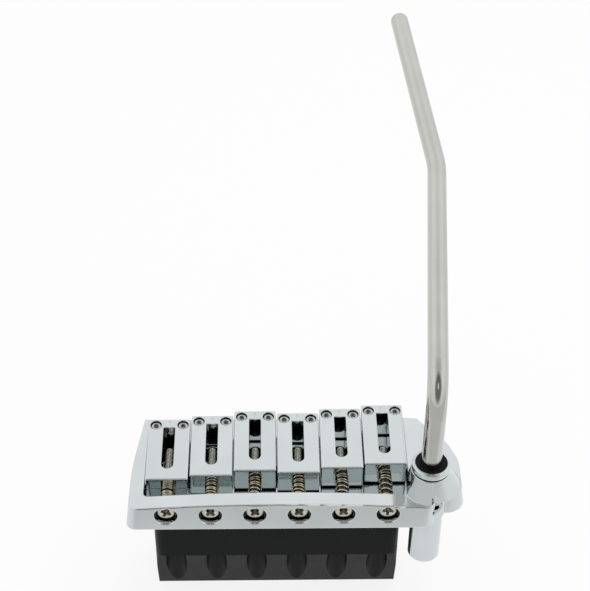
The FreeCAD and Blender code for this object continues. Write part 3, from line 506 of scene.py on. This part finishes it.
for number in range(1, stringCount + 1):
    node = "intonation_screw_%d" % number
    low, high = boxOf(node)
    threadedScrew("screw_%d" % number, node, yAxis, [(low + high) / 2],
                  threadForm["shankRadius"], threadForm["shankLead"], threadForm["shankDepth"],
                  "screw_nickel", threadForm["setTurns"][number - 1])
    node = "height_screws_%d" % number
    low, high = boxOf(node)
    middle = (low + high) / 2
    aside = Vector(((high.x - low.x) / 2 - threadForm["grubRadius"], 0, 0))
    threadedScrew("grubs_%d" % number, node, zAxis, [middle - aside, middle + aside],
                  threadForm["grubRadius"], threadForm["grubLead"], threadForm["grubDepth"], "screw_steel")
print("threads cut:", 3 * stringCount)


# wound springs over the intonation screws

springForm = {
    "wire": 0.00046,
    "turns": 5.4,
    "closed": 0.75,       # turns laid flat at each end
    "closedRise": 0.55,   # what a flat turn still climbs, in wires
    "stepsPerTurn": 28,
    "wireSides": 10,
}


def springLine(low, high):
    form = springForm
    radius = (high.x - low.x) / 2 - form["wire"] / 2
    centreX = (low.x + high.x) / 2
    centreZ = (low.z + high.z) / 2
    start = low.y + form["wire"] / 2
    length = high.y - low.y - form["wire"]
    flat = form["wire"] * form["closed"] * form["closedRise"]
    steps = int(form["turns"] * form["stepsPerTurn"])
    points = []
    for step in range(steps + 1):
        turned = form["turns"] * step / steps
        left = form["turns"] - turned
        if turned < form["closed"]:
            along = flat * turned / form["closed"]
        elif left < form["closed"]:
            along = length - flat * left / form["closed"]
        else:
            share = (turned - form["closed"]) / (form["turns"] - 2 * form["closed"])
            along = flat + (length - 2 * flat) * share
        angle = 2 * math.pi * turned
        points.append(Vector((
            centreX + radius * math.cos(angle), start + along, centreZ + radius * math.sin(angle))))
    return points


def tubeMesh(name, points, radius, sides):
    corners, faces = [], []
    count = len(points)
    for place, point in enumerate(points):
        ahead = points[min(place + 1, count - 1)] - points[max(place - 1, 0)]
        ahead.normalize()
        side = ahead.cross(Vector((0, 1, 0))).normalized()
        over = side.cross(ahead)
        for step in range(sides):
            angle = 2 * math.pi * step / sides
            corners.append(point + (side * math.cos(angle) + over * math.sin(angle)) * radius)
    for place in range(count - 1):
        for step in range(sides):
            following = (step + 1) % sides
            first, second = place * sides, (place + 1) * sides
            faces.append((first + step, second + step, second + following, first + following))
    faces.append(tuple(range(sides)))
    faces.append(tuple((count - 1) * sides + step for step in reversed(range(sides))))
    mesh = bpy.data.meshes.new(name)
    mesh.from_pydata(corners, [], faces)
    mesh.update()
    for polygon in mesh.polygons:
        polygon.use_smooth = True
    return mesh


for number in range(1, stringCount + 1):
    low, high = boxOf("intonation_spring_%d" % number)
    points = springLine(low, high)
    mesh = tubeMesh("coil_%d" % number, points, springForm["wire"] / 2, springForm["wireSides"])
    coil = bpy.data.objects.new("coil_%d" % number, mesh)
    bpy.context.scene.collection.objects.link(coil)
    coil.data.materials.append(finishes["spring_wire"])
    axis = Vector(((low.x + high.x) / 2, 0, (low.z + high.z) / 2))
    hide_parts("intonation_spring_%d" % number)
    spots = [vert.co.copy() for vert in mesh.vertices]
    for vert in mesh.vertices:    # weighed on its centre line, the wire stays round
        vert.co.y = points[vert.index // springForm["wireSides"]].y
    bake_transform(coil, "spring_%d" % number, "saddle_%d" % number,
             start=(axis.x, low.y + springForm["wire"], axis.z),
             end=(axis.x, high.y - springForm["wire"], axis.z))
    for vert, spot in zip(mesh.vertices, spots):
        vert.co = spot
    mesh.update()
print("springs wound:", stringCount)


# floor, light and camera

stageLook = {
    "floorZ": -0.0379,
    "floorSize": 3.0,
    "floorColour": (0.88, 0.88, 0.88),
    "floorRough": 0.9,
    "floorGlow": 0.85,       # share that glows for the camera and in polished metal
    "floorFar": 0.72,        # its level in metal out behind the bridge, white being 1
    "floorNear": 1.0,        # and close to the bridge
    "farY": -0.074,
    "nearY": -0.054,
    "tent": ((0.0, 0.92), (0.6, 1.12), (0.8, 1.06), (1.0, 0.62)),    # height and level of the pale tent
    "openWay": (0.0, -0.75, 0.66),   # dark opening of the tent, on the camera's side
    "openInner": 0.93,       # cosines of its edge
    "openOuter": 0.72,
    "openLevel": 0.20,
    "screenWay": (0.0, -0.694, 0.72),    # pale screen round the lens, in the opening
    "screenInner": 0.996,
    "screenOuter": 0.986,
    "screenLevel": 0.80,
}


def makeFloor():
    look = stageLook
    bpy.ops.mesh.primitive_plane_add(size=look["floorSize"], location=(0, 0, look["floorZ"]))
    floor = bpy.context.object
    floor.name = "floor"
    material, tree, shader, place = startFinish("paleFloor")
    shader.inputs["Base Color"].default_value = (*look["floorColour"], 1)
    shader.inputs["Roughness"].default_value = look["floorRough"]
    path = addNode(tree, "LightPath").outputs
    outward = addNode(tree, "SeparateXYZ", {0: place}).outputs["Y"]
    mirrored = addNode(tree, "MapRange", {
        "Value": outward, "From Min": look["farY"], "From Max": look["nearY"],
        "To Min": look["floorFar"], "To Max": look["floorNear"]}, interpolation_type="SMOOTHSTEP").outputs["Result"]
    level = mathNode(tree, "MAXIMUM", path["Is Camera Ray"], mirrored)
    glow = addNode(tree, "Emission", {"Color": (1, 1, 1, 1), "Strength": level}).outputs[0]
    seen = mathNode(tree, "MAXIMUM", path["Is Camera Ray"], path["Is Glossy Ray"])
    seen = mathNode(tree, "MAXIMUM", seen, path["Is Transmission Ray"])
    share = mathNode(tree, "MULTIPLY", seen, look["floorGlow"])
    mixed = addNode(tree, "MixShader", {0: share, 1: shader.outputs[0], 2: glow}).outputs[0]
    below = addNode(tree, "NewGeometry").outputs["Backfacing"]    # clear from below, so the underside shows
    clear = addNode(tree, "BsdfTransparent").outputs[0]
    mixed = addNode(tree, "MixShader", {0: below, 1: mixed, 2: clear}).outputs[0]
    tree.links.new(mixed, tree.nodes["Material Output"].inputs["Surface"])
    floor.data.materials.append(material)


def spotInTent(tree, way, spot, around):
    look = stageLook
    facing = addNode(tree, "VectorMath", {0: way, 1: look[spot + "Way"]}, operation="DOT_PRODUCT").outputs["Value"]
    return addNode(tree, "MapRange", {
        "Value": facing, "From Min": look[spot + "Outer"], "From Max": look[spot + "Inner"],
        "To Min": around, "To Max": look[spot + "Level"]}, interpolation_type="SMOOTHSTEP").outputs["Result"]


def makeSky():
    look = stageLook
    world = bpy.data.worlds.new("studio")
    world.use_nodes = True
    bpy.context.scene.world = world
    tree = world.node_tree
    way = addNode(tree, "TexCoord").outputs["Generated"]
    height = addNode(tree, "SeparateXYZ", {0: way}).outputs["Z"]
    ramp = addNode(tree, "ValToRGB", {"Fac": height})
    stops = ramp.color_ramp.elements
    stops[0].position, stops[1].position = look["tent"][0][0], look["tent"][-1][0]
    for position, _ in look["tent"][1:-1]:
        stops.new(position)
    for stop, (_, level) in zip(stops, look["tent"]):
        stop.color = (level, level, level, 1)
    strength = mathNode(tree, "MAXIMUM", spotInTent(tree, way, "open", 1.0), spotInTent(tree, way, "screen", 0.0))
    light = addNode(tree, "Background", {"Color": ramp.outputs["Color"], "Strength": strength}).outputs[0]
    white = addNode(tree, "Background", {"Color": (1, 1, 1, 1), "Strength": 1.0}).outputs[0]
    seen = addNode(tree, "LightPath").outputs["Is Camera Ray"]
    mixed = addNode(tree, "MixShader", {0: seen, 1: light, 2: white}).outputs[0]
    tree.links.new(mixed, tree.nodes["World Output"].inputs["Surface"])


lampLook = {
    "at": (0.10, 0.10, 0.55),
    "aim": (0, 0, 0),
    "size": 0.5,
    "watts": 1.0,
}


def makeLamp():
    look = lampLook
    lamp = bpy.data.lights.new("softboxAbove", "AREA")
    lamp.size = look["size"]
    lamp.energy = look["watts"]
    holder = bpy.data.objects.new("softboxAbove", lamp)
    bpy.context.scene.collection.objects.link(holder)
    holder.location = look["at"]
    holder.visible_glossy = False    # the metal mirrors the tent alone
    holder.rotation_euler = (Vector(look["aim"]) - Vector(look["at"])).to_track_quat("-Z", "Y").to_euler()


cameraLook = {
    "at": (-0.0020, -0.2757, 0.2703),
    "elevation": 39.6,
    "azimuth": 1.38,
    "roll": 0.59,
    "focalPixels": 1468.0,
    "frameHigh": 591.0,
    "sensor": 36.0,
    "clipStart": 0.01,
}


def makeCamera():
    look = cameraLook
    down, turn, roll = (math.radians(look[key]) for key in ("elevation", "azimuth", "roll"))
    ahead = Vector((math.sin(turn) * math.cos(down), math.cos(turn) * math.cos(down), -math.sin(down)))
    right = Vector((math.cos(turn), -math.sin(turn), 0))
    up = right.cross(ahead)
    rolledRight = right * math.cos(roll) + up * math.sin(roll)
    rolledUp = up * math.cos(roll) - right * math.sin(roll)
    lens = bpy.data.cameras.new("photoCamera")
    lens.sensor_width = look["sensor"]
    lens.lens = look["focalPixels"] / look["frameHigh"] * look["sensor"]
    lens.clip_start = look["clipStart"]
    camera = bpy.data.objects.new("photoCamera", lens)
    bpy.context.scene.collection.objects.link(camera)
    turned = Matrix((rolledRight, rolledUp, -ahead)).transposed()
    camera.matrix_world = Matrix.Translation(look["at"]) @ turned.to_4x4()
    bpy.context.scene.camera = camera


makeFloor()
makeSky()
makeLamp()
makeCamera()
bpy.context.scene.view_settings.view_transform = "Standard"
print("stage set")
